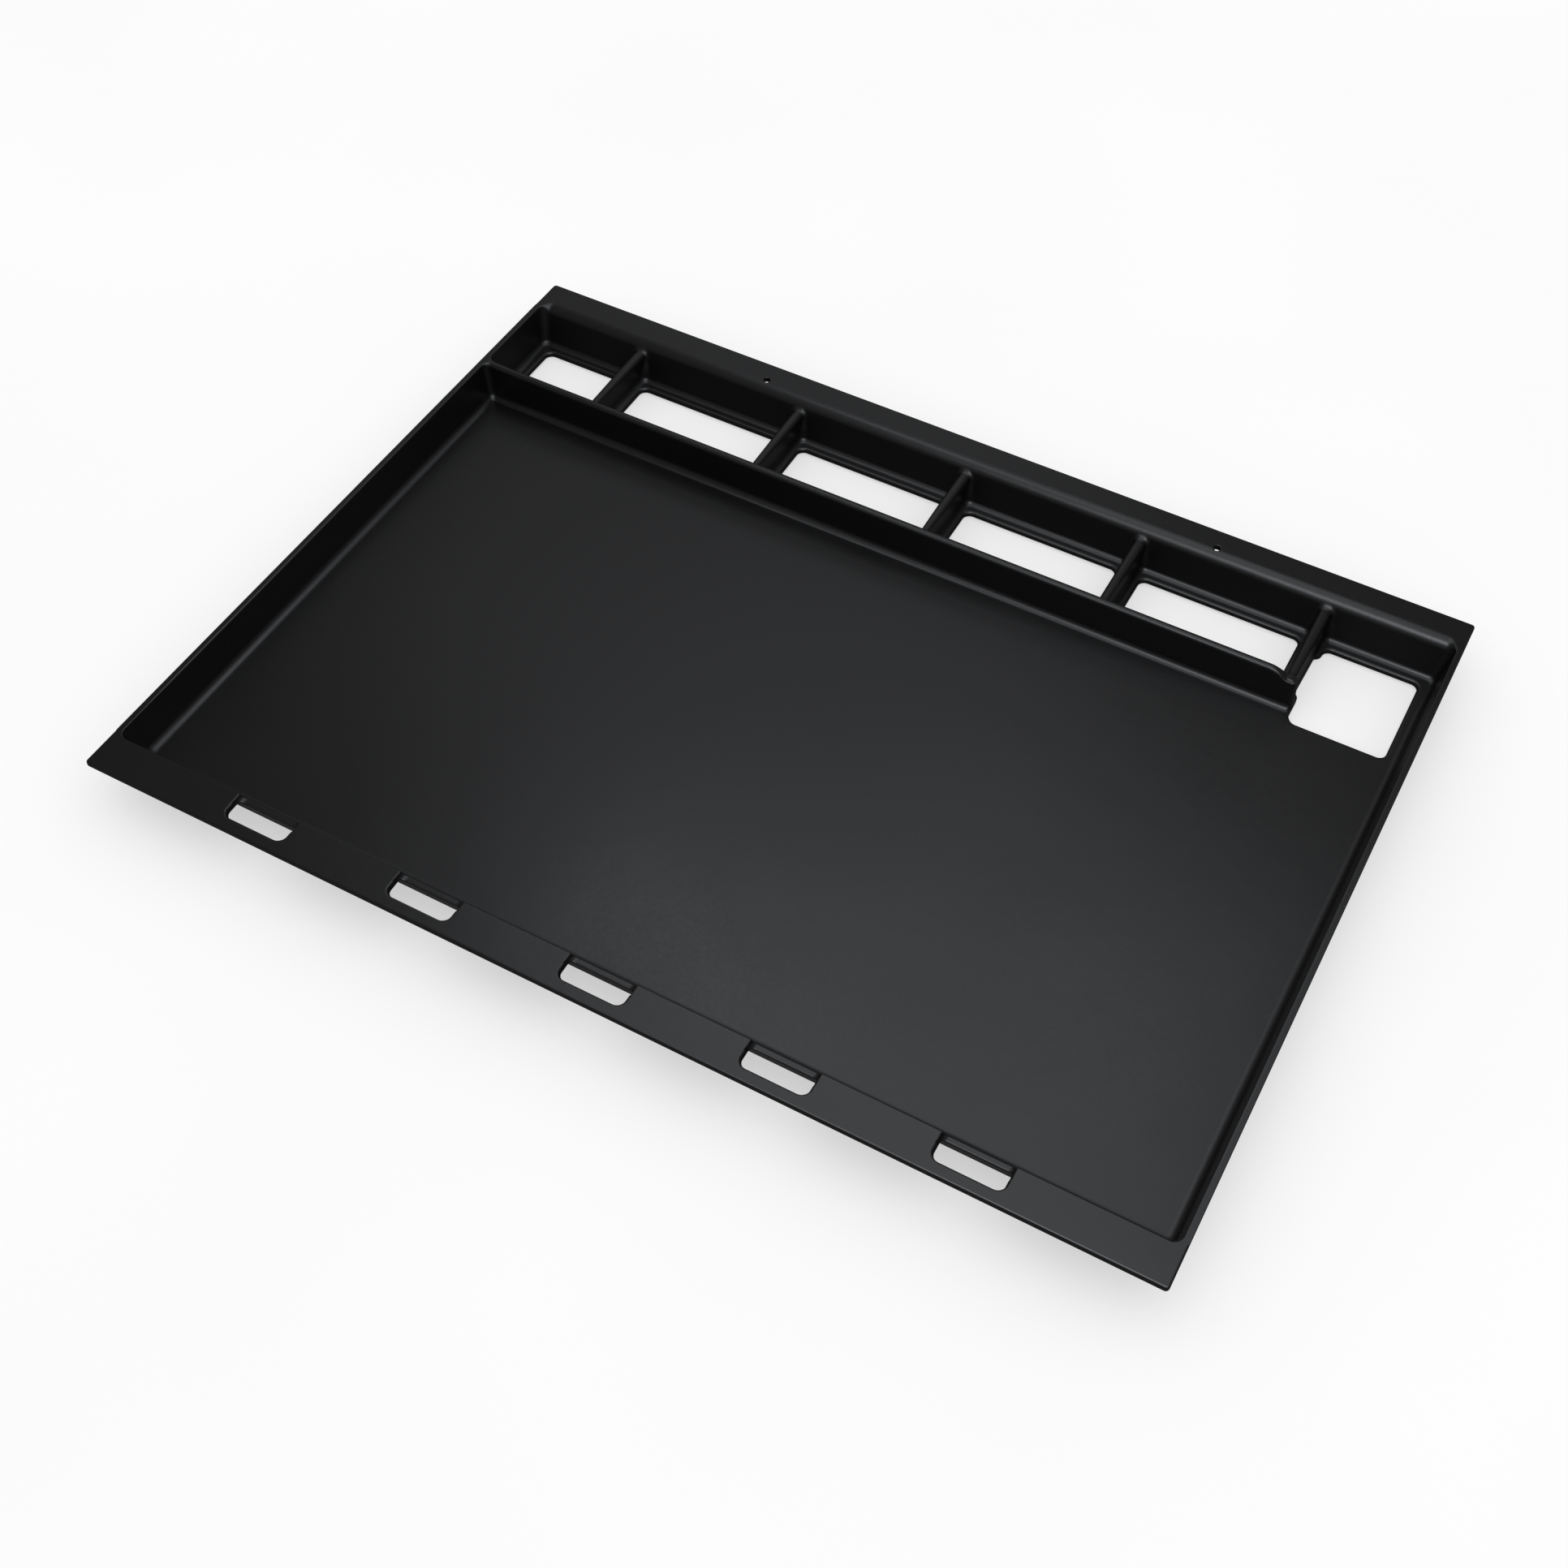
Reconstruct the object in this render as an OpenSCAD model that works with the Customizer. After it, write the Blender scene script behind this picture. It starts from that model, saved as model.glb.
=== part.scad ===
// Cast-iron griddle plate for a gas barbecue: one casting.
// A shallow cooking pan hangs between a slotted front strip and a plain rear strip.
// Behind the pan, a divider wall closes off a ribbed trough whose openings let heat and
// flue gas rise, and a larger opening in the back right corner takes the fat away.
// Origin: centre of the outline, on the underside. +Z is up and +Y runs to the back.

/* [Overall size] */
// Width of the plate, left to right
overall_w = 600; // [560:5:640]
// Depth of the plate, front to back
overall_d = 448; // [430:2:470]
// Height from the underside to the rim
overall_h = 28; // [25:1:34]
// Corner radius of the outline
outline_r = 2; // [1:0.5:8]

/* [Casting] */
// Thickness of the rim walls and of the front and rear strips
wall_t = 3.6; // [3:0.1:4.5]
// Thickness of the pan floor
floor_t = 4; // [3:0.25:6]
// How far a side wall leans in from the rim to the floor
wall_draft = 4; // [1:0.25:5]
// Fillet radius where a wall meets the floor
foot_r = 4; // [2:0.25:6]
// Corner radius of the pan, seen from above
pan_corner_r = 5; // [3:0.5:8]

/* [Front strip] */
// Width of the front strip
front_strip_w = 22; // [21:0.5:28]
// How far the front wall leans back from the strip to the floor
front_lean = 10; // [6:0.5:14]
// Number of lifting slots
slot_count = 5; // [1:2:5]
// Distance between slot centres
slot_pitch = 99.5; // [80:0.5:110]
// Sideways shift of the row of slots
slot_shift = 0.5; // [0:0.5:4]
// Length of a slot, left to right
slot_w = 37; // [28:1:50]
// Width of a slot, front to back
slot_d = 15; // [11:0.25:16]
// Corner radius of a slot's front corners
slot_r = 5; // [2:0.5:5]
// Radius of the sweep at each end of the notch in the front wall's crest
notch_r = 3.6; // [1:0.2:3.6]

/* [Rear strip] */
// Width of the rear strip, measured to the trough's rear wall
rear_strip_w = 20; // [18:0.5:26]
// How far the trough's rear wall leans in from the rim to the floor
rear_draft = 7; // [1:0.5:8]
// Rounding between the rear strip and the trough's rear wall
rear_edge_r = 5.5; // [3:0.5:7]
// Diameter of the two hanging holes
hang_hole_d = 4; // [3:0.5:5]
// Distance from the back edge to the centres of the hanging holes
hang_hole_inset = 14; // [10:0.5:14]
// Distance between the hanging holes
hang_hole_span = 292; // [200:2:400]
// Sideways shift of the pair of hanging holes
hang_hole_shift = 7.5; // [0:0.5:20]

/* [Divider wall] */
// Distance from the back edge to the middle of the divider wall
divider_inset = 82.5; // [76:0.5:96]
// Thickness of the divider wall at its crest
divider_t = 4.75; // [3:0.25:6]
// How far a face of the divider leans out from the crest to the floor
divider_draft = 2; // [1:0.25:2.5]
// How far the divider's crest lies below the rim
divider_drop = 1; // [0.5:0.25:4]
// Radius of the curve that brings the crest down to the last rib
divider_end_r = 12; // [8:0.5:14]
// How far the middle of its rounded end lies past the middle of the last rib
divider_overrun = 1.75; // [1:0.25:3]
// Length of the sweep that brings the crest up to the left rim
divider_sweep = 25; // [15:1:40]

/* [Ribs] */
// Number of ribs across the trough
rib_count = 5; // [3:2:5]
// Distance between rib centres
rib_pitch = 111.6; // [100:0.2:114]
// Thickness of a rib at the rear wall
rib_rear_t = 7.5; // [6:0.25:8]
// Thickness of a rib at the divider wall
rib_front_t = 4.5; // [3:0.25:6]
// How far the ribs' crests lie below the rim
rib_drop = 6; // [4.5:0.25:8]

/* [Openings] */
// Distance from a rib's centre to the next opening
vent_side_gap = 7; // [6:0.25:9]
// Distance from the back edge to the openings' rear edges
vent_rear_inset = 33; // [32:0.5:36]
// Size of a vent opening, front to back
vent_d = 38; // [30:1:40]
// Distance from the plate's sides to the outer openings
end_gap = 14.5; // [13.5:0.5:18]
// Size of the drain opening, front to back
drain_d = 62.5; // [58:0.5:66]
// Corner radius of the openings
opening_r = 5; // [3:0.5:7]

/* [Hidden] */
$fn = 96;
over = 1;                                     // how far a cutter runs past the face it cuts
ledge = 0.5;                                  // floor left between the drain and what stands beside it
end_drop = 0.5;                               // how much lower than the ribs the divider ends
half_w = overall_w / 2;
half_d = overall_d / 2;
floor_z = floor_t;
pan_depth = overall_h - floor_t;
strip_z = overall_h - wall_t;                 // underside of the strips
pan_half_w = half_w - wall_t;
pan_front_y = -half_d + front_strip_w;
pan_rear_y = half_d - rear_strip_w;
side_lean = atan(wall_draft / pan_depth);
rear_lean = atan(rear_draft / pan_depth);
front_wall_lean = atan(front_lean / pan_depth);
front_wall_run = wall_t / cos(front_wall_lean);
outer_foot_r = foot_r + floor_t;
divider_y = half_d - divider_inset;
divider_z = overall_h - divider_drop;
divider_lean = atan(divider_draft / (divider_z - floor_z));
rib_z = overall_h - rib_drop;
rib_end_x = (rib_count - 1) / 2 * rib_pitch;  // middle of the outermost rib
foot_half = divider_t / 2 + divider_draft;    // half the divider's thickness at the floor
divider_end_x = rib_end_x + divider_overrun;
divider_end_z = rib_z - end_drop;
end_x = half_w - end_gap;
vent_rear_y = half_d - vent_rear_inset;
vent_front_y = vent_rear_y - vent_d;
drain_front_y = vent_rear_y - drain_d;
drain_x = divider_end_x + foot_half + ledge;

// A channel's wall leans by the angle lean and ends at the height bottom in an arc of
// radius r. top_x is how far out the wall stands at the height of the rim.
function wall_x(top_x, lean, z) = top_x - (overall_h - z) * tan(lean);
function arc_x(top_x, lean, bottom, r) =
    wall_x(top_x, lean, bottom) + r * tan(lean) - r / cos(lean);
function arc_end(top_x, lean, bottom, r) =
    [arc_x(top_x, lean, bottom, r) + r * cos(lean), bottom + r - r * sin(lean)];
function mirrored(p) = [-p[0], p[1]];
function centred(i, count) = i - (count - 1) / 2;
function slot_x(i) = slot_shift + centred(i, slot_count) * slot_pitch;

// Channel with leaning walls and rounded feet, open at the top.
// Distances to the left wall are given as positive numbers too.
module channel_2d(left, left_lean, right, right_lean, bottom, top, r) {
    polygon([
        [-arc_x(left, left_lean, bottom, r), bottom],
        [arc_x(right, right_lean, bottom, r), bottom],
        arc_end(right, right_lean, bottom, r),
        [wall_x(right, right_lean, top), top],
        [-wall_x(left, left_lean, top), top],
        mirrored(arc_end(left, left_lean, bottom, r))
    ]);
    translate([arc_x(right, right_lean, bottom, r), bottom + r]) circle(r);
    translate([-arc_x(left, left_lean, bottom, r), bottom + r]) circle(r);
}

// Puts a profile drawn in X and Z along the Y axis, from y0 to y1
module along_y(y0, y1) {
    translate([0, y1, 0]) rotate([90, 0, 0]) linear_extrude(y1 - y0) children();
}

// Puts a profile drawn in Y and Z along the X axis, from x0 to x1
module along_x(x0, x1) {
    translate([x0, 0, 0]) rotate([90, 0, 90]) linear_extrude(x1 - x0) children();
}

// Rectangle with rounded corners, given by its limits
module rounded_rect(x0, x1, y0, y1, r) {
    translate([x0 + r, y0]) square([x1 - x0 - 2 * r, y1 - y0]);
    translate([x0, y0 + r]) square([x1 - x0, y1 - y0 - 2 * r]);
    for (x = [x0 + r, x1 - r], y = [y0 + r, y1 - r]) translate([x, y]) circle(r);
}

// Upright block over a flat shape, from z0 to z1
module upright(z0, z1) {
    translate([0, 0, z0]) linear_extrude(z1 - z0) children();
}

// Rim and strips, as one flat plate with the lifting slots cut through it
module top_plate() {
    upright(strip_z, overall_h) difference() {
        rounded_rect(-half_w, half_w, -half_d, half_d, outline_r);
        for (i = [0 : slot_count - 1]) translate([slot_x(i), 0])
            rounded_rect(-slot_w / 2, slot_w / 2,
                         pan_front_y - slot_d, pan_front_y + 2 * slot_r, slot_r);
    }
}

// Block in the shape of the tub that hangs below the top plate. At a share of 0 it has the
// tub's outer faces, at 1 its inner faces, and in between it ends inside the walls.
module tub_block(share, top) {
    rest = 1 - share;
    side_x = half_w - share * wall_t;
    front_y = -pan_front_y + rest * front_wall_run;
    rear_y = pan_rear_y + rest * wall_t;
    bottom = share * floor_t;
    r = foot_r + rest * floor_t;
    intersection() {
        along_y(-half_d, half_d)
            channel_2d(side_x, side_lean, side_x, side_lean, bottom, top, r);
        along_x(-half_w, half_w)
            channel_2d(front_y, front_wall_lean, rear_y, rear_lean, bottom, top, r);
    }
}

// Space inside the tub: the pan and the trough together
module tub_inside() {
    intersection() {
        tub_block(1, overall_h + over);
        upright(0, overall_h + over)
            rounded_rect(-pan_half_w, pan_half_w, pan_front_y, pan_rear_y, pan_corner_r);
    }
}

// Behind each slot the front wall's crest is notched down to the strip's underside
module crest_notches() {
    for (i = [0 : slot_count - 1]) translate([slot_x(i), 0, 0])
        along_y(pan_front_y - front_wall_run - over, pan_front_y + 2 * over)
            channel_2d(slot_w / 2, 0, slot_w / 2, 0, strip_z, overall_h + over, notch_r);
}

// Rounds the edge between the rear strip and the trough's leaning rear wall
module rear_edge_cutter() {
    reach = pan_half_w - pan_corner_r;
    arc_y = pan_rear_y + rear_edge_r / cos(rear_lean) - rear_edge_r * tan(rear_lean);
    arc_z = overall_h - rear_edge_r;
    end_y = arc_y - rear_edge_r * cos(rear_lean);
    end_z = arc_z + rear_edge_r * sin(rear_lean);
    along_x(-reach, reach) difference() {
        polygon([
            [arc_y, arc_z],
            [arc_y, overall_h + over],
            [end_y - over, overall_h + over],
            [end_y - over, end_z],
            [end_y, end_z]
        ]);
        translate([arc_y, arc_z]) circle(rear_edge_r);
    }
}

module hanging_holes() {
    for (side = [-1, 1])
        translate([hang_hole_shift + side * hang_hole_span / 2, half_d - hang_hole_inset, 0])
            cylinder(d = hang_hole_d, h = overall_h + over);
}

// Half the thickness of a rib at the distance y along it
function rib_half(y) = let(along = (y - divider_y) / (pan_rear_y - divider_y))
    (rib_front_t + (rib_rear_t - rib_front_t) * along) / 2;

// Openings in the trough floor and the drain in the back right corner.
// Behind the divider's end the drain widens until only a narrow ledge is left of the floor
// beside the last rib.
module openings() {
    wide_y0 = divider_y + foot_half + foot_r;
    wide_y1 = vent_rear_y - 2 * opening_r;
    corner = 1;                                // length of the slanting edges' ends
    upright(-over, overall_h) {
        for (i = [0 : rib_count - 1]) {
            right_x = centred(i, rib_count) * rib_pitch - vent_side_gap;
            left_x = i == 0 ? -end_x : right_x - rib_pitch + 2 * vent_side_gap;
            rounded_rect(left_x, right_x, vent_front_y, vent_rear_y, opening_r);
        }
        rounded_rect(drain_x, end_x, drain_front_y, vent_rear_y, opening_r);
        polygon([
            [drain_x, wide_y1 + opening_r],
            [rib_end_x + rib_half(wide_y1) + ledge, wide_y1],
            [rib_end_x + rib_half(wide_y0 + corner) + ledge, wide_y0 + corner],
            [drain_x, wide_y0],
            [drain_x + opening_r, wide_y0],
            [drain_x + opening_r, wide_y1]
        ]);
    }
}

// Divider wall seen end-on, with a rounded crest and filleted feet
module divider_2d() {
    crest_r = divider_t / 2;
    crest_z = divider_z - crest_r;
    reach = foot_half + foot_r;
    shoulder = [crest_r * cos(divider_lean), crest_z + crest_r * sin(divider_lean)];
    polygon([
        [-foot_half, floor_z - over],
        [foot_half, floor_z - over],
        [foot_half, floor_z],
        shoulder,
        mirrored(shoulder),
        [-foot_half, floor_z]
    ]);
    translate([0, crest_z]) circle(crest_r);
    difference() {
        translate([-reach, floor_z - over]) square([2 * reach, foot_r + over]);
        for (side = [-1, 1]) translate([side * reach, floor_z + foot_r]) circle(foot_r);
    }
}

// What is cut off the divider's right end, where its crest curves down to the last rib
module divider_end_2d() {
    curve_x = rib_end_x - divider_end_r;
    difference() {
        translate([curve_x, divider_end_z]) square(overall_h);
        translate([curve_x, divider_z - divider_end_r]) circle(divider_end_r);
    }
}

// The divider runs from the left wall to a rounded end beside the last rib. At the left
// its crest sweeps up to the rim.
module divider() {
    reach = foot_half + foot_r;
    sweep_x = -pan_half_w + divider_sweep;
    sweep_r = (divider_sweep * divider_sweep + divider_drop * divider_drop)
              / (2 * divider_drop);
    difference() {
        translate([0, divider_y, 0]) {
            along_x(-half_w, divider_end_x) divider_2d();
            translate([divider_end_x, 0, 0]) rotate_extrude() intersection() {
                divider_2d();
                square(overall_h);
            }
        }
        along_y(divider_y - reach - over, divider_y + reach + over) divider_end_2d();
    }
    along_y(divider_y - divider_t / 4, divider_y + divider_t / 4) difference() {
        translate([-half_w, divider_z - divider_t / 2])
            square([divider_sweep + wall_t, divider_drop + divider_t / 2]);
        translate([sweep_x, divider_z + sweep_r]) circle(sweep_r, $fn = 720);
    }
}

// Ribs thicken towards the rear wall and end inside it
module ribs() {
    rib_rear_y = pan_rear_y + wall_t / 2;
    for (i = [0 : rib_count - 1]) translate([centred(i, rib_count) * rib_pitch, 0, 0])
        upright(floor_z - over, rib_z) polygon([
            [-rib_front_t / 2, divider_y],
            [rib_front_t / 2, divider_y],
            [rib_half(rib_rear_y), rib_rear_y],
            [-rib_half(rib_rear_y), rib_rear_y]
        ]);
}

module griddle_casting() {
    color([0.09, 0.09, 0.1]) {
        difference() {
            union() {
                top_plate();
                tub_block(0, overall_h);
            }
            tub_inside();
            crest_notches();
            rear_edge_cutter();
            hanging_holes();
            openings();
        }
        difference() {
            intersection() {
                union() {
                    divider();
                    ribs();
                }
                tub_block(0.5, overall_h);
            }
            openings();
        }
    }
}

griddle_casting();
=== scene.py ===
"""Cast-iron griddle plate with a semi-gloss black enamel, on a pale studio floor.

The casting is built as one signed distance field, in millimetres, in the CAD's frame. Every
wall, rib and opening is a simple shape, and the shapes are joined with circular fillets, as
in a real casting. The field's zero surface is turned into a mesh on a grid that is fine at
the edges and coarse on the flat floor.
"""
import math

import bpy
import numpy as np
from mathutils import Matrix, Vector


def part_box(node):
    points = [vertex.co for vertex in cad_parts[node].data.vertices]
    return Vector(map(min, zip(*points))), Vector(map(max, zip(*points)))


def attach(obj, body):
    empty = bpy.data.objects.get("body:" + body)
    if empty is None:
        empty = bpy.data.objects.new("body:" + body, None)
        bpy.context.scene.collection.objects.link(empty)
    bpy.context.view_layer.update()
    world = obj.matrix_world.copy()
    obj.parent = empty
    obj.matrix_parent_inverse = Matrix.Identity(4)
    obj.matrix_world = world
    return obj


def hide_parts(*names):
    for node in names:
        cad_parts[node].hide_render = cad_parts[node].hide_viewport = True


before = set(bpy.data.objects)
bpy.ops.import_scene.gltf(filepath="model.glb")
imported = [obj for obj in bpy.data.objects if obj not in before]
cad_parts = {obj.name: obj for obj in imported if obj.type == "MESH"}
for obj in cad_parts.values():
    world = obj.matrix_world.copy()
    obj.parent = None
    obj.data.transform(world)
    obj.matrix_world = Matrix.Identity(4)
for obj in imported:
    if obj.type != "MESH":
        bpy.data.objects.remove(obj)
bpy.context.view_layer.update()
NODE = "griddle_casting"
low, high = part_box(NODE)

# ---------------------------------------------------------------- sizes, in mm
HALF_W = 1000 * high.x             # half the plate's width
HALF_D = 1000 * high.y             # half the plate's depth
TOP = 1000 * high.z                # height of the rim
OUTLINE_R = 2                      # corners of the plate's outline
WALL = 3.6                         # thickness of the walls and of the two strips
FLOOR = 4.0                        # thickness of the pan floor
SIDE_LEAN = 4 / (TOP - FLOOR)      # slope of the side walls
REAR_LEAN = 7 / (TOP - FLOOR)      # slope of the trough's rear wall
FRONT_LEAN = 10 / (TOP - FLOOR)    # slope of the front wall
FRONT_Y = -HALF_D + 22             # front wall's crest
REAR_Y = HALF_D - 20               # trough's rear wall at rim height
CORNER_R = 5                       # upright corners inside the tub
OUTER_CORNER_R = 8                 # upright corners outside it
FOOT_R = 4                         # fillet where a wall meets the floor
BEAD_R = 5.5                       # rounded edge of the rear strip
CREST_R = 0.5                      # edge of the walls' crests at the front
CREST_GROWTH = 0.4                 # how much rounder that is along the sides
REAR_FOOT_TRIM = 1.2               # how much tighter the inner foot is at the rear
UNDER_STRIP_R = 1.5                # fillet under the two strips

DIVIDER_Y = HALF_D - 82.5          # middle of the divider wall
DIVIDER_Z = TOP - 1
DIVIDER_T = 4.75                   # thickness at the crest
DIVIDER_DRAFT = 2                  # how far each face has moved outwards at the floor
DIVIDER_CREST_R = 2.3
DIVIDER_FALL_R = 12                # curve of the crest down to its right end
DIVIDER_LANDING_R = 1.5            # fillet where that meets the height of the ribs
DIVIDER_END_TRIM = 1.8             # how much sharper the crest is at that end
DIVIDER_FOOT_TRIM = 3.4            # how much of the foot's fillet fades at that end
SWEEP = 25                         # how far from the left wall the crest starts to rise
SWEEP_R = 310                      # curve of that rise

RIB_Z = TOP - 6
RIB_X = [111.6 * i for i in (-2, -1, 0, 1, 2)]
RIB_HALF = 2.25                    # half a rib's thickness at the divider
RIB_GROWTH = 1.5                   # how much thicker that is at the rear wall
RIB_CREST = 0.85                   # crest radius as a share of half the thickness
RIB_FOOT_R = 2.5
RIB_VENT_GROWTH = 1.5              # how much wider the foot's fillet is beside a vent
RIB_REAR_GROWTH = 2.3              # and in the corners at the trough's rear wall
LAST_RIB = RIB_X[-1]
DIVIDER_END_X = LAST_RIB + 1.75    # the divider's end cap is centred here

SLOT_X = [0.5 + 99.5 * i for i in (-2, -1, 0, 1, 2)]
SLOT_HALF = 18.5                   # half a lifting slot's length
SLOT_Y = FRONT_Y - 15              # slots' front edge
SLOT_DRAFT = 0.3                   # slope of the slots' edges
NOTCH_R = 3.6                      # lower corners of the notches in the front wall's crest
NOTCH_REACH = 6                    # how far they reach to both sides of the crest
SLOT_REACH = 10                    # how far the slots reach behind the crest

OPENING_R = 5                      # corners of the slots, the vents and the drain
VENT_GAP = 7                       # from a rib's middle to the vents beside it
VENT_REAR_Y = HALF_D - 33
VENT_FRONT_Y = VENT_REAR_Y - 38
DRAIN_FRONT_Y = VENT_REAR_Y - 62.5
DRAIN_X = DIVIDER_END_X + 4.875    # drain's left edge
DRAIN_LEDGE = 0.5                  # floor left between the drain and the last rib
DRAIN_WIDE_INSET = 9               # its wide part stops this short of divider and rear edge
DRAIN_WIDE_R = 1                   # corners of the wide part
DRAIN_WIDE_JOIN_R = 4              # and where it meets the rest of the drain
END_X = HALF_W - 14.5              # outer edge of the first vent and of the drain
HOLES = [(-138.5, HALF_D - 14), (153.5, HALF_D - 14)]
HOLE_R = 2

EDGE_R = 1.1                       # edges of the two strips
SLOT_EDGE_R = 0.9
OPENING_EDGE_R = 1.8
END_EDGE_TRIM = 1.4                # how much sharper it is beside the divider's end
END_EDGE_GROWTH = 1.1              # and how much larger the opening is there
OPENING_SHRINK = 0.6               # makes up for what the rounding of the edges takes away
HOLE_EDGE_R = 0.5


# ---------------------------------------------------------------- distance field
def join(a, b, r):
    """Union of two shapes with a fillet of radius r."""
    return np.maximum(r, np.minimum(a, b)) - np.hypot(np.maximum(r - a, 0), np.maximum(r - b, 0))


def common(a, b, r):
    """Intersection of two shapes with its edges rounded to radius r."""
    return np.minimum(-r, np.maximum(a, b)) + np.hypot(np.maximum(r + a, 0), np.maximum(r + b, 0))


def cut(a, b, r):
    """Shape a without shape b, with the edges rounded to radius r."""
    return common(a, -b, r)


def rect(x, y, x0, x1, y0, y1, r):
    """Rectangle with corners of radius r, seen from above."""
    dx = np.abs(x - (x0 + x1) / 2) - (x1 - x0) / 2 + r
    dy = np.abs(y - (y0 + y1) / 2) - (y1 - y0) / 2 + r
    return np.hypot(np.maximum(dx, 0), np.maximum(dy, 0)) + np.minimum(np.maximum(dx, dy), 0) - r


def step(v, v0, v1):
    """Smooth step from 0 at v0 to 1 at v1."""
    t = np.clip((v - v0) / (v1 - v0), 0, 1)
    return t * t * (3 - 2 * t)


def tub(x, y, z, share, corner_r):
    """The tub's faces: outer ones at share 0, inner ones at share 1."""
    rest = 1 - share
    drop = TOP - z

    def wall(across, lean):
        return (across + drop * lean) / math.hypot(1, lean)

    d_side = wall(np.abs(x) - (HALF_W - share * WALL), SIDE_LEAN)
    d_rear = wall(y - (REAR_Y + rest * WALL), REAR_LEAN)
    front_run = rest * WALL * math.hypot(1, FRONT_LEAN)
    d_front = wall(FRONT_Y - y - front_run, FRONT_LEAN)
    walls = common(d_side, np.maximum(d_rear, d_front), corner_r)
    tighter_at_rear = share * REAR_FOOT_TRIM * step(y, 165, 185)
    return common(walls, share * FLOOR - z, FOOT_R + rest * FLOOR - tighter_at_rear)


def rib_half(y):
    """Half a rib's thickness, which grows towards the rear wall."""
    return RIB_HALF + RIB_GROWTH * (y - DIVIDER_Y) / (REAR_Y - DIVIDER_Y)


def divider(x, y, z):
    """Divider wall: drafted, round-crested, rising to the left rim and falling at the right."""
    half = DIVIDER_T / 2 + DIVIDER_DRAFT * (DIVIDER_Z - z) / (DIVIDER_Z - FLOOR)
    beyond = np.maximum(x - DIVIDER_END_X, 0)
    slant = 0.996                  # turns the distance across into that to the drafted face
    faces = (np.hypot(y - DIVIDER_Y, beyond) - half) * slant
    sweep = np.maximum(-HALF_W + WALL + SWEEP - x, 0)
    crest = z - DIVIDER_Z - sweep * sweep / (2 * SWEEP_R)
    crest = common(crest, x - LAST_RIB, DIVIDER_FALL_R)
    crest = join(crest, z - RIB_Z, DIVIDER_LANDING_R)
    sharper_at_end = DIVIDER_END_TRIM * step(x, LAST_RIB - 9, LAST_RIB)
    return common(faces, crest, DIVIDER_CREST_R - sharper_at_end)


def ribs(x, y, z):
    """Ribs across the trough, with round crests, from the divider to behind the rear wall."""
    nearest = np.abs(x - RIB_X[0])
    for rib_x in RIB_X[1:]:
        nearest = np.minimum(nearest, np.abs(x - rib_x))
    sides = nearest - rib_half(y)
    crested = common(sides, z - RIB_Z, RIB_CREST * rib_half(y))
    return np.maximum(crested, DIVIDER_Y - y)


def rib_foot(x, y, z):
    """Fillet radius around the ribs: wider at the floor and in the rear corners."""
    beside_vent = (x < LAST_RIB) & (y > DIVIDER_Y)
    rear = step(y, REAR_Y - 14, REAR_Y - 8)
    near_floor = step(-z, -17, -10)
    growth = np.maximum(RIB_VENT_GROWTH * beside_vent, RIB_REAR_GROWTH * rear)
    return RIB_FOOT_R + near_floor * growth


def divider_foot(x):
    """Fillet radius around the divider, which fades on the end cap's right side."""
    return FOOT_R - DIVIDER_FOOT_TRIM * step(x, DIVIDER_END_X + 2.5, DIVIDER_END_X + 5)


def openings(x, y):
    """Vents in the trough floor, and the drain, which widens behind the divider's end."""
    lefts = [-END_X] + [rib_x + VENT_GAP for rib_x in RIB_X[:-1]]
    vents = np.inf
    for left, rib_x in zip(lefts, RIB_X):
        vent = rect(x, y, left, rib_x - VENT_GAP, VENT_FRONT_Y, VENT_REAR_Y, OPENING_R)
        vents = np.minimum(vents, vent)
    drain = rect(x, y, DRAIN_X, END_X, DRAIN_FRONT_Y, VENT_REAR_Y, OPENING_R)
    beside_rib = np.maximum(LAST_RIB + rib_half(y) + DRAIN_LEDGE - x, x - DRAIN_X - OPENING_R)
    inset = DRAIN_WIDE_INSET
    between = np.maximum(DIVIDER_Y + inset - y, y - VENT_REAR_Y + inset)
    wide = common(beside_rib, between, DRAIN_WIDE_R)
    return np.minimum(vents, join(drain, wide, DRAIN_WIDE_JOIN_R)) + OPENING_SHRINK


def slots_and_notches(x, y, z):
    """Lifting slots in the front strip, and the notches above them in the wall's crest."""
    slots = notches = np.inf
    for slot_x in SLOT_X:
        left, right = slot_x - SLOT_HALF, slot_x + SLOT_HALF
        slot = rect(x, y, left, right, SLOT_Y, FRONT_Y + SLOT_REACH, OPENING_R)
        slots = np.minimum(slots, slot + SLOT_DRAFT * (TOP - z))
        notch = common(np.abs(x - slot_x) - SLOT_HALF, TOP - WALL - z, NOTCH_R)
        notches = np.minimum(notches, notch)
    return slots, np.maximum(notches, np.abs(y - FRONT_Y) - NOTCH_REACH)


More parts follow.
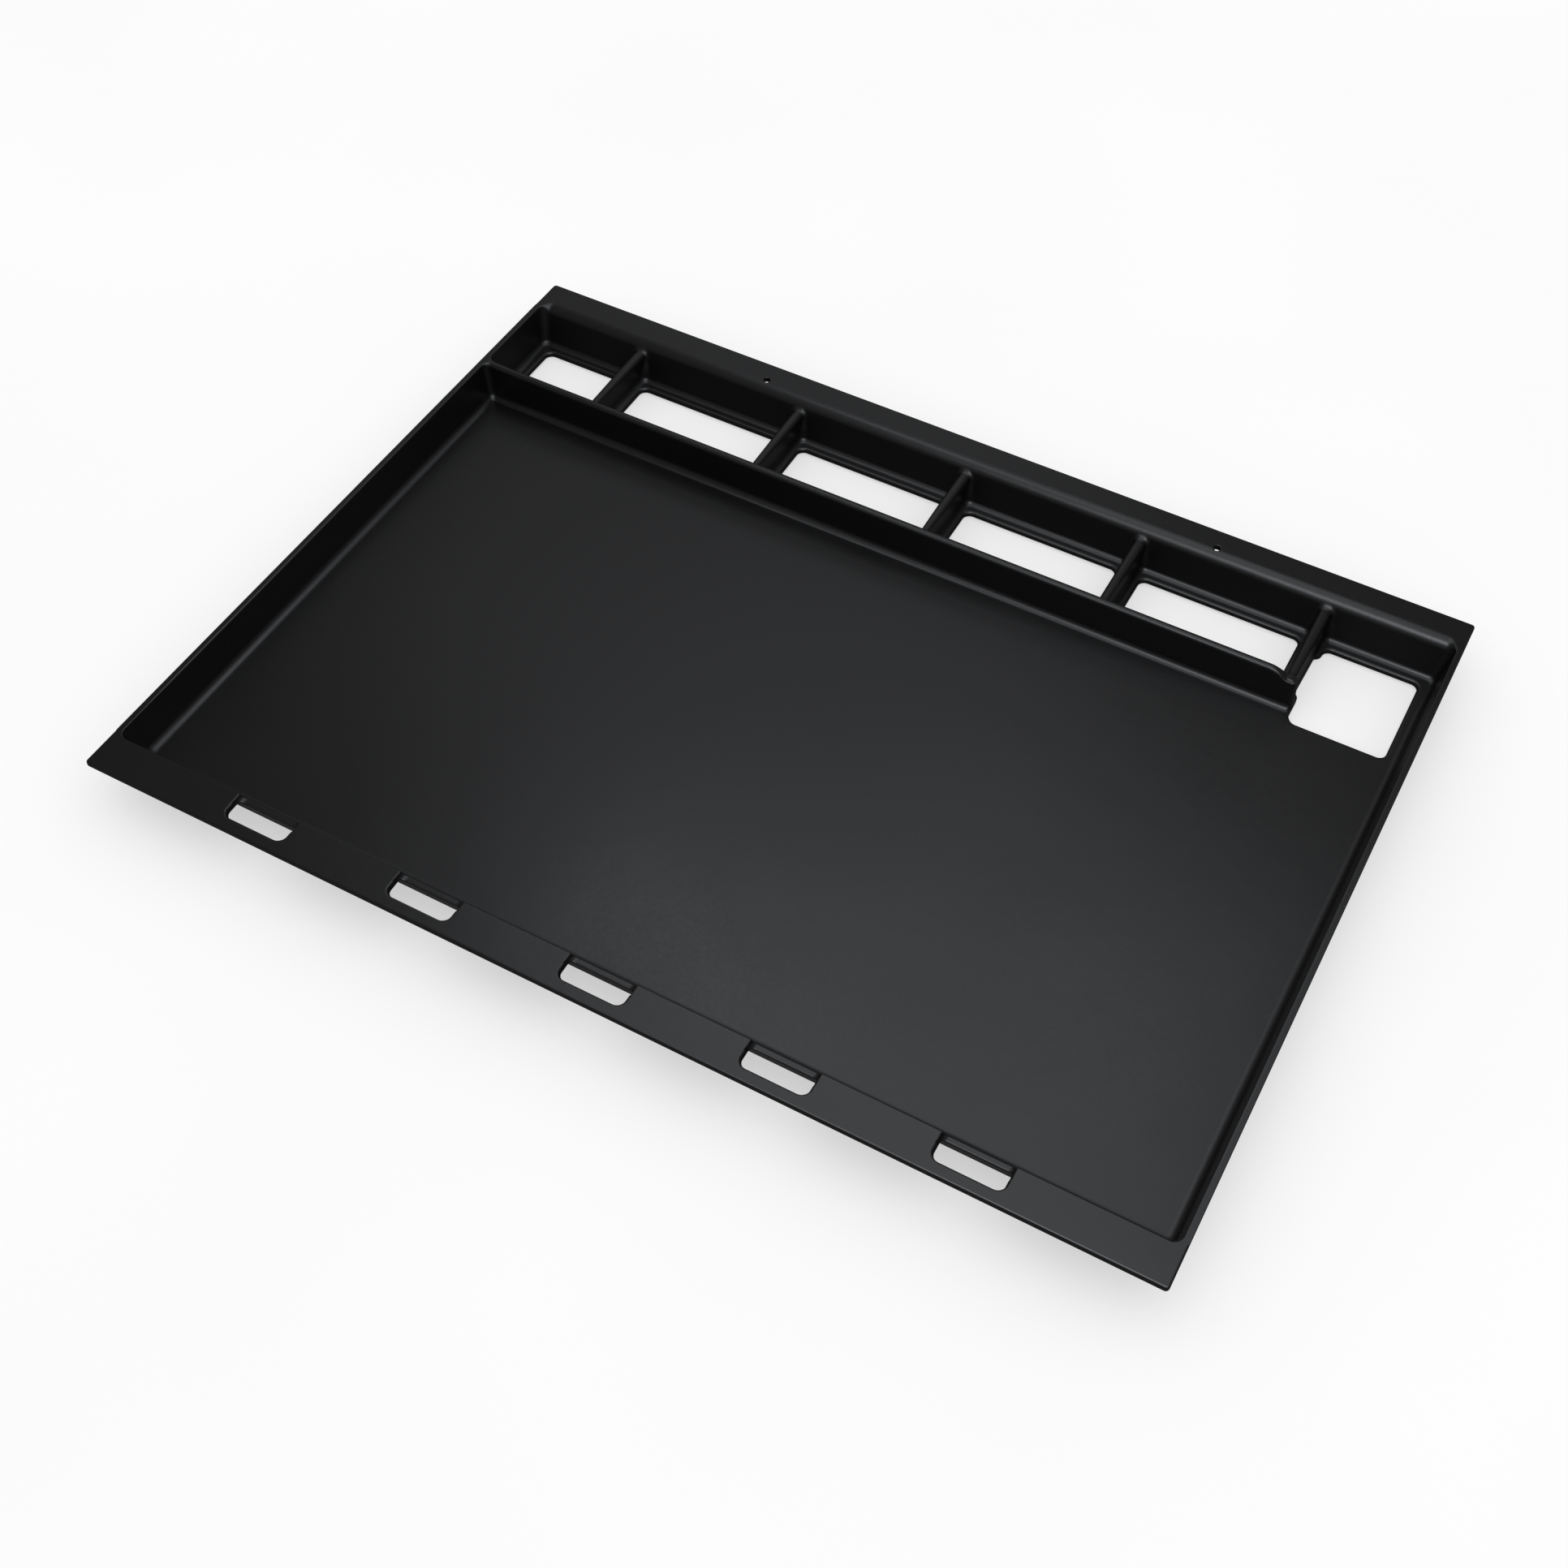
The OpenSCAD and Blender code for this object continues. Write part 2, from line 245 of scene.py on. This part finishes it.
def field(x, y, z):
    """Distance to the casting's surface in mm, negative inside the iron."""
    air = tub(x, y, z, 1, CORNER_R)
    air = common(air, -divider(x, y, z), divider_foot(x))
    air = common(air, -ribs(x, y, z), rib_foot(x, y, z))
    rear = step(y, 165, 190) * step(-np.abs(x), -296, -290)
    side_crest_r = CREST_R + CREST_GROWTH * step(y, -190, -150)
    air = join(air, TOP - z, side_crest_r + (BEAD_R - CREST_R - CREST_GROWTH) * rear)

    slots, notches = slots_and_notches(x, y, z)
    outline = rect(x, y, -HALF_W, HALF_W, -HALF_D, HALF_D, OUTLINE_R)
    plate = common(outline, np.maximum(z - TOP, TOP - WALL - z), EDGE_R)
    plate = cut(plate, slots, SLOT_EDGE_R)
    under_strips_r = UNDER_STRIP_R * step(-np.abs(x), -294, -285)
    iron = join(plate, tub(x, y, z, 0, OUTER_CORNER_R), under_strips_r)
    iron = np.maximum(iron, -air)
    iron = cut(iron, notches, SLOT_EDGE_R)
    near_end = step(-np.hypot(x - DRAIN_X, y - DIVIDER_Y), -12, -7)
    edge_r = OPENING_EDGE_R - END_EDGE_TRIM * near_end
    iron = cut(iron, openings(x, y) - END_EDGE_GROWTH * near_end, edge_r)
    for hole_x, hole_y in HOLES:
        iron = cut(iron, np.hypot(x - hole_x, y - hole_y) - HOLE_R, HOLE_EDGE_R)
    return iron


# ---------------------------------------------------------------- mesh
def grid_lines(lo, hi, coarse, zones):
    """Grid positions from lo to hi: each zone is (start, end, spacing), coarse elsewhere."""
    def spacing(v):
        best = coarse
        for z0, z1, h in zones:
            away = max(z0 - v, v - z1, 0)
            best = min(best, h + away * 0.35)
        return best
    lines = [lo]
    while lines[-1] < hi:
        here = lines[-1]
        lines.append(here + spacing(here + spacing(here) / 2))
    return np.array(lines)


FINE = 0.62                        # grid spacing at fillets and edges
x_zones = [(-HALF_W - 1, -HALF_W + 16, FINE), (HALF_W - 20, HALF_W + 1, FINE)]
x_zones += [(v - 12.5, v + 12.5, FINE) for v in RIB_X]
x_zones += [(v + s * 16.5 - 3.4, v + s * 16.5 + 3.4, FINE) for v in SLOT_X for s in (-1, 1)]
x_zones += [(v - 3.5, v + 3.5, 0.45) for v, _ in HOLES]
y_zones = [
    (-HALF_D - 1, SLOT_Y + 5, FINE), (FRONT_Y - 7, FRONT_Y + 2, 0.5),
    (FRONT_Y + 2, FRONT_Y + 17, 0.9), (DRAIN_FRONT_Y - 2, VENT_FRONT_Y + 5, FINE),
    (VENT_REAR_Y - 6, REAR_Y + 9, 0.55), (HALF_D - 2, HALF_D + 1, FINE),
]
z_zones = [(-1, FLOOR + 4.5, 0.5), (RIB_Z - 4, TOP + 1, 0.42)]


def surface(fn, gx, gy, gz):
    """Quads of the zero surface of fn: one point per cell that the surface crosses."""
    f = fn(gx[:, None, None], gy[None, :, None], gz[None, None, :])
    inside = f < 0
    grids = (gx, gy, gz)
    _, ny, nz = f.shape
    cells, points, quads = [], [], []
    for axis in range(3):
        here = [slice(None)] * 3
        ahead = [slice(None)] * 3
        here[axis], ahead[axis] = slice(0, -1), slice(1, None)
        crossed = inside[tuple(here)] != inside[tuple(ahead)]
        index = np.argwhere(crossed)
        nxt = index.copy()
        nxt[:, axis] += 1
        f0, f1 = f[tuple(index.T)], f[tuple(nxt.T)]
        t = f0 / (f0 - f1)
        pos = np.stack([grids[k][index[:, k]] for k in range(3)], 1)
        g = grids[axis]
        pos[:, axis] += t * (g[nxt[:, axis]] - g[index[:, axis]])
        u, v = (axis + 1) % 3, (axis + 2) % 3
        ring = []
        for du, dv in ((-1, -1), (0, -1), (0, 0), (-1, 0)):
            cell = index.copy()
            cell[:, u] += du
            cell[:, v] += dv
            flat = (cell[:, 0] * ny + cell[:, 1]) * nz + cell[:, 2]
            ring.append(flat)
            cells.append(flat)
            points.append(pos)
        ring = np.stack(ring, 1)
        ring[f0 > 0] = ring[f0 > 0][:, ::-1]
        quads.append(ring)
    cells, points, quads = np.concatenate(cells), np.concatenate(points), np.concatenate(quads)
    used, back = np.unique(cells, return_inverse=True)
    count = np.bincount(back)
    verts = np.stack([np.bincount(back, points[:, k]) / count for k in range(3)], 1)
    return verts, np.searchsorted(used, quads)


def slope(fn, p):
    """Gradient of fn at the points p, by central differences."""
    h = 0.02
    out = np.empty_like(p)
    for k in range(3):
        d = np.zeros(3)
        d[k] = h
        a, b = p + d, p - d
        out[:, k] = (fn(*a.T) - fn(*b.T)) / (2 * h)
    return out


def build_casting():
    gx = grid_lines(-HALF_W - 0.83, HALF_W + 0.8, 6.0, x_zones)
    gy = grid_lines(-HALF_D - 0.87, HALF_D + 0.8, 6.5, y_zones)
    gz = grid_lines(-0.73, TOP + 0.6, 1.7, z_zones)
    verts, quads = surface(field, gx, gy, gz)
    for _ in range(3):             # Newton steps onto the surface
        g = slope(field, verts)
        move = field(*verts.T)[:, None] * g / np.maximum((g * g).sum(1), 0.2)[:, None]
        verts -= np.clip(move, -0.25, 0.25)
    normals = slope(field, verts)
    normals /= np.maximum(np.linalg.norm(normals, axis=1), 1e-9)[:, None]
    mesh = bpy.data.meshes.new("griddle_plate")
    mesh.from_pydata((verts / 1000).tolist(), [], quads.tolist())
    mesh.validate()
    mesh.polygons.foreach_set("use_smooth", [True] * len(mesh.polygons))
    mesh.normals_split_custom_set_from_vertices(normals.tolist())
    mesh.update()
    plate = bpy.data.objects.new("griddle_plate", mesh)
    bpy.context.scene.collection.objects.link(plate)
    print("casting:", len(gx), len(gy), len(gz), "grid,", len(verts), "points")
    return plate


# ---------------------------------------------------------------- materials
STUDIO_LIGHT = 1.03                # even light from all sides
BOX_Z = 0.6                        # height of the soft boxes in metres
# Painted shade: the floor is dimmed to this share of its tone where the enamel mirrors it, for the
# shade under the plate.
MIRRORED_FLOOR = 0.1               # share of the floor's tone that the enamel mirrors
MIRRORED_WORLD = 0.17              # strength of the world in the enamel's reflections


class Tree:
    """Short ways to add nodes to a node tree and link them."""
    def __init__(self, tree):
        self.tree = tree
        tree.nodes.clear()

    def add(self, kind, inputs=None, **settings):
        node = self.tree.nodes.new(kind)
        for key, value in settings.items():
            setattr(node, key, value)
        for key, value in (inputs or {}).items():
            if isinstance(value, bpy.types.NodeSocket):
                self.tree.links.new(value, node.inputs[key])
            else:
                node.inputs[key].default_value = value
        return node

    def ramp(self, source, v0, v1, out0, out1):
        node = self.add("ShaderNodeMapRange", {0: source, 1: v0, 2: v1, 3: out0, 4: out1})
        return node.outputs[0]

    def math(self, operation, a, b=0.0):
        return self.add("ShaderNodeMath", {0: a, 1: b}, operation=operation).outputs[0]

    def noise(self, coords, scale, detail=2.0):
        node = self.add("ShaderNodeTexNoise", {"Vector": coords, "Scale": scale,
                                               "Detail": detail, "Roughness": 0.5})
        return node.outputs["Fac"]

    def bump(self, strength, distance, height, under=None):
        inputs = {"Strength": strength, "Distance": distance, "Height": height}
        if under is not None:
            inputs["Normal"] = under
        return self.add("ShaderNodeBump", inputs).outputs[0]

    def mirrored(self, direct, reflected):
        """One value as seen or as light, another where a glossy surface mirrors it."""
        glossy = self.add("ShaderNodeLightPath").outputs["Is Glossy Ray"]
        return self.ramp(glossy, 0, 1, direct, reflected)

    def finish(self, kind, shader):
        out = self.add(kind)
        self.tree.links.new(shader.outputs[0], out.inputs[0])


def material(name):
    mat = bpy.data.materials.new(name)
    mat.use_nodes = True
    return mat, Tree(mat.node_tree)


def enamel_material():
    """Black glass enamel: cloudy gloss, an orange-peel skin, and greyer where it is thin."""
    mat, t = material("black_enamel")
    coords = t.add("ShaderNodeTexCoord").outputs["Object"]
    cloud = t.noise(coords, 9.0, 3.0)
    wave = t.noise(coords, 60.0)
    peel = t.noise(coords, 620.0)
    grain = t.noise(coords, 2300.0, 1.0)
    edge = t.ramp(t.add("ShaderNodeNewGeometry").outputs["Pointiness"], 0.5, 0.58, 0.0, 1.0)
    black, worn = (0.0018, 0.0018, 0.0020, 1), (0.006, 0.0058, 0.0056, 1)
    color = t.add("ShaderNodeMix", {0: edge, 6: black, 7: worn}, data_type="RGBA").outputs[2]
    rough = t.math("ADD", t.ramp(cloud, 0.3, 0.7, 0.33, 0.40), t.ramp(peel, 0.3, 0.7, -0.02, 0.03))
    skin = t.bump(0.10, 0.0002, peel)
    skin = t.bump(0.10, 0.001, wave, skin)
    skin = t.bump(0.06, 0.0001, grain, skin)
    shader = t.add("ShaderNodeBsdfPrincipled", {"Base Color": color, "Roughness": rough,
                                                "IOR": 1.5, "Normal": skin})
    t.finish("ShaderNodeOutputMaterial", shader)
    return mat


def floor_material():
    """Pale floor with a painted glow that keeps the shadows on it light, and painted shade where
    the enamel mirrors it.
    """
    mat, t = material("studio_floor")
    coords = t.add("ShaderNodeTexCoord").outputs["Object"]
    tone = t.ramp(t.noise(coords, 3.0), 0.3, 0.7, 0.47, 0.48)
    # Painted shade: the floor is darker where the enamel mirrors it.
    tone = t.math("MULTIPLY", tone, t.mirrored(1, MIRRORED_FLOOR))
    color = t.add("ShaderNodeCombineColor", {0: tone, 1: tone, 2: tone}).outputs[0]
    # Painted light: the floor's emission, at the studio light's strength, lightens the shadows
    # cast on it.
    shader = t.add("ShaderNodeBsdfPrincipled", {
        "Base Color": color, "Roughness": 0.8, "Specular IOR Level": 0.1,
        "Emission Color": color, "Emission Strength": STUDIO_LIGHT})
    t.finish("ShaderNodeOutputMaterial", shader)
    return mat


# ---------------------------------------------------------------- scene
def studio_world():
    """Even white studio light, dimmer where the enamel mirrors it."""
    world = bpy.data.worlds.new("studio")
    bpy.context.scene.world = world
    world.use_nodes = True
    world.cycles.sampling_method = "NONE"
    t = Tree(world.node_tree)
    white = (1.0, 1.0, 1.0, 1)
    strength = t.mirrored(STUDIO_LIGHT, MIRRORED_WORLD)
    shader = t.add("ShaderNodeBackground", {"Color": white, "Strength": strength})
    t.finish("ShaderNodeOutputWorld", shader)


def soft_box(name, place, size, radiance):
    """Rectangular soft light over the plate that only shows as a reflection in the enamel."""
    data = bpy.data.lights.new(name, "AREA")
    data.shape = "RECTANGLE"
    data.size, data.size_y = size
    data.color = (0.96, 0.99, 1.05)
    data.energy = radiance * size[0] * size[1] * math.pi
    light = bpy.data.objects.new(name, data)
    light.location = (*place, BOX_Z)
    light.visible_camera = False
    light.visible_diffuse = False
    bpy.context.scene.collection.objects.link(light)


def camera():
    """Camera at the viewing angle, given by its place, its aim and its roll."""
    data = bpy.data.cameras.new("camera")
    data.lens = 47.45
    data.sensor_width = 36
    cam = bpy.data.objects.new("camera", data)
    back = Vector((0.2896, -0.5516, 0.7822)).normalized()
    up = Vector((-0.3831, 0.6821, 0.6228))
    right = up.cross(back).normalized()
    up = back.cross(right)
    turn = Matrix((right, up, back)).transposed().to_4x4()
    cam.matrix_world = Matrix.Translation((0.32883, -0.64616, 0.85831)) @ turn
    bpy.context.scene.collection.objects.link(cam)
    bpy.context.scene.camera = cam


def studio_floor(half_size, gap):
    """Square floor, a hair below the plate."""
    corners = [(-half_size, -half_size, 0), (half_size, -half_size, 0),
               (half_size, half_size, 0), (-half_size, half_size, 0)]
    mesh = bpy.data.meshes.new("studio_floor")
    mesh.from_pydata(corners, [], [(0, 1, 2, 3)])
    mesh.materials.append(floor_material())
    floor = bpy.data.objects.new("studio_floor", mesh)
    floor.location.z = low.z - gap
    bpy.context.scene.collection.objects.link(floor)


plate = build_casting()
plate.data.materials.append(enamel_material())
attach(plate, "root")
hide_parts(NODE)

studio_floor(6.0, 0.0002)
studio_world()
soft_box("overhead_side", (-0.55, 0.42), (0.25, 0.3), 0.45)
soft_box("overhead_left", (-0.2, 0.15), (0.22, 0.22), 2.2)
soft_box("overhead_right", (0.1, 0.14), (0.4, 0.24), 1.4)
soft_box("overhead_far", (0.12, 0.33), (0.4, 0.22), 1.15)
soft_box("overhead_rear", (-0.2, 0.5), (0.5, 0.2), 0.6)
soft_box("overhead_back", (-0.45, 0.85), (0.7, 0.25), 0.5)
soft_box("strip_left", (0.0, -0.25), (0.2, 0.2), 5)
soft_box("strip_middle", (0.2, -0.25), (0.2, 0.2), 8)
soft_box("strip_right", (0.4, -0.25), (0.2, 0.2), 12)
soft_box("strip_front", (-0.08, -0.45), (0.3, 0.2), 0.9)
camera()
bpy.context.scene.view_settings.view_transform = "Standard"
